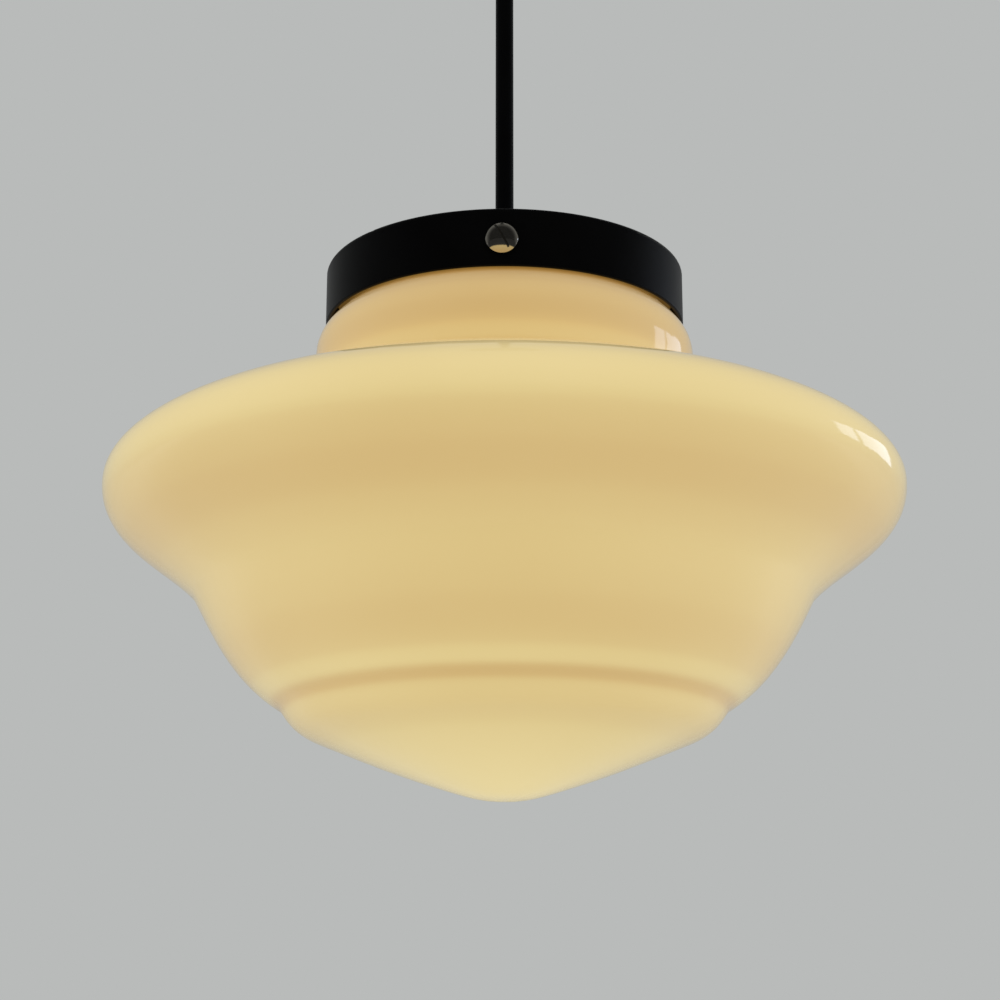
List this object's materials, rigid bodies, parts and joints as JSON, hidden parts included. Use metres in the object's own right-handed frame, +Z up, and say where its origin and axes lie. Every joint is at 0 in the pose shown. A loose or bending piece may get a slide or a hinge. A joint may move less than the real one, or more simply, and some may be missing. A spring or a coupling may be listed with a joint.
{
  "type": "glass pendant light",
  "caption": "Pendant light: a round stepped opal glass shade held by thumb screws in a black fitter cup on a tube stem, with ceiling canopy, hook, lampholder and bulb.",
  "frame": {"origin": "on the ceiling plane, on the lamp's axis, at the middle of the ceiling plate's slots", "axes": "+Z up, square to the ceiling; +X along the ceiling plate; -Y the front, where one thumb screw faces"},
  "size_m": [0.337, 0.337, 0.6911],
  "materials": {
    "zinc_steel": "zinc plated",
    "black_enamel": "satin black enamel",
    "nickel": "bright nickel plate",
    "brass": "plain",
    "porcelain": "glazed porcelain",
    "phenolic": "moulded black",
    "terminal_moulding": "moulded",
    "live_sleeve": "smooth",
    "neutral_sleeve": "smooth",
    "earth_sleeve": "smooth",
    "opal_glass": "glossy cream opal",
    "bulb_glass": "frosted",
    "cap_metal": "bright",
    "dark_glass": "black vitrite",
    "filament": "phosphor coated"
  },
  "bodies": {
    "ceiling": {"ceiling_plate": "zinc_steel", "ceiling_hook": "zinc_steel", "hook_nut": "zinc_steel"},
    "roller": {"hanger_roller": "porcelain"},
    "pendant": {"stirrup": "zinc_steel", "roller_bolt": "zinc_steel", "roller_nut": "zinc_steel", "stem_nut_top": "zinc_steel", "stem_nut_lower": "zinc_steel", "stem": "black_enamel", "terminal_block": "terminal_moulding", "block_screws": "brass", "block_fixing": "zinc_steel", "live_wire": "live_sleeve", "neutral_wire": "neutral_sleeve", "earth_wire": "earth_sleeve", "stem_adaptor": "black_enamel", "fitter_washer": "black_enamel", "fitter": "black_enamel", "fitter_locknut": "zinc_steel", "holder_cap": "phenolic", "holder_insert": "porcelain", "holder_posts": "brass", "post_screws": "brass", "holder_tube": "phenolic", "threaded_sleeve": "brass", "centre_contact": "brass", "shade": "opal_glass"},
    "canopy_body": {"canopy": "black_enamel", "canopy_collar": "black_enamel"},
    "collar_stud": {"canopy_screw_stud": "zinc_steel"},
    "collar_head": {"canopy_screw_head": "nickel"},
    "bulb_slider": {"bulb_cap": "cap_metal", "bulb_insulator": "dark_glass", "bulb_contact": "cap_metal"},
    "bulb": {"bulb_globe": "bulb_glass", "glass_stem": "bulb_glass", "filament_frame": "zinc_steel", "filaments": "filament"},
    "thumb_stud_1": {"screw_stud_1": "zinc_steel"},
    "thumb_head_1": {"screw_head_1": "nickel"},
    "thumb_stud_2": {"screw_stud_2": "zinc_steel"},
    "thumb_head_2": {"screw_head_2": "nickel"},
    "thumb_stud_3": {"screw_stud_3": "zinc_steel"},
    "thumb_head_3": {"screw_head_3": "nickel"}
  },
  "joints": [
    {"name": "hook_rock", "type": "hinge", "parent": "ceiling", "child": "roller", "pos_m": [0, 0, -0.04035], "axis": [1, 0, 0], "range_deg": [-4, 4]},
    {"name": "bolt_swing", "type": "hinge", "parent": "roller", "child": "pendant", "pos_m": [0, 0, -0.03205], "axis": [0, 1, 0], "range_deg": [-4, 4]},
    {"name": "canopy_slide", "type": "slide", "parent": "pendant", "child": "canopy_body", "axis": [0, 0, -1], "range_m": [0, 0.35]},
    {"name": "collar_screw_travel", "type": "slide", "parent": "canopy_body", "child": "collar_stud", "axis": [0, -1, 0], "range_m": [0, 0.0015]},
    {"name": "collar_screw_turn", "type": "hinge", "parent": "collar_stud", "child": "collar_head", "pos_m": [0, -0.009, -0.0855], "axis": [0, -1, 0], "range_deg": [0, 1080]},
    {"name": "thumb_screw_travel_1", "type": "slide", "parent": "pendant", "child": "thumb_stud_1", "axis": [0, -1, 0], "range_m": [0, 0.00735]},
    {"name": "thumb_screw_turn_1", "type": "hinge", "parent": "thumb_stud_1", "child": "thumb_head_1", "pos_m": [0, -0.0775, -0.47565], "axis": [0, -1, 0], "range_deg": [0, 3780]},
    {"name": "thumb_screw_travel_2", "type": "slide", "parent": "pendant", "child": "thumb_stud_2", "axis": [0.866, 0.5, 0], "range_m": [0, 0.00735]},
    {"name": "thumb_screw_turn_2", "type": "hinge", "parent": "thumb_stud_2", "child": "thumb_head_2", "pos_m": [0.06712, 0.03875, -0.47565], "axis": [0.866, 0.5, 0], "range_deg": [0, 3780]},
    {"name": "thumb_screw_travel_3", "type": "slide", "parent": "pendant", "child": "thumb_stud_3", "axis": [-0.866, 0.5, 0], "range_m": [0, 0.00735]},
    {"name": "thumb_screw_turn_3", "type": "hinge", "parent": "thumb_stud_3", "child": "thumb_head_3", "pos_m": [-0.06712, 0.03875, -0.47565], "axis": [-0.866, 0.5, 0], "range_deg": [0, 3780]},
    {"name": "bulb_travel", "type": "slide", "parent": "pendant", "child": "bulb_slider", "axis": [0, 0, -1], "range_m": [0, 0.0182]},
    {"name": "bulb_turn", "type": "hinge", "parent": "bulb_slider", "child": "bulb", "pos_m": [0, 0, -0.50775], "axis": [0, 0, -1], "range_deg": [0, 1800]}
  ],
  "couplings": [
    {"joint": "collar_screw_turn", "follows": "collar_screw_travel", "rad_per_m": 12566},
    {"joint": "thumb_screw_turn_1", "follows": "thumb_screw_travel_1", "rad_per_m": 8976},
    {"joint": "thumb_screw_turn_2", "follows": "thumb_screw_travel_2", "rad_per_m": 8976},
    {"joint": "thumb_screw_turn_3", "follows": "thumb_screw_travel_3", "rad_per_m": 8976},
    {"joint": "bulb_travel", "follows": "bulb_turn", "m_per_rad": 0.00057757}
  ]
}
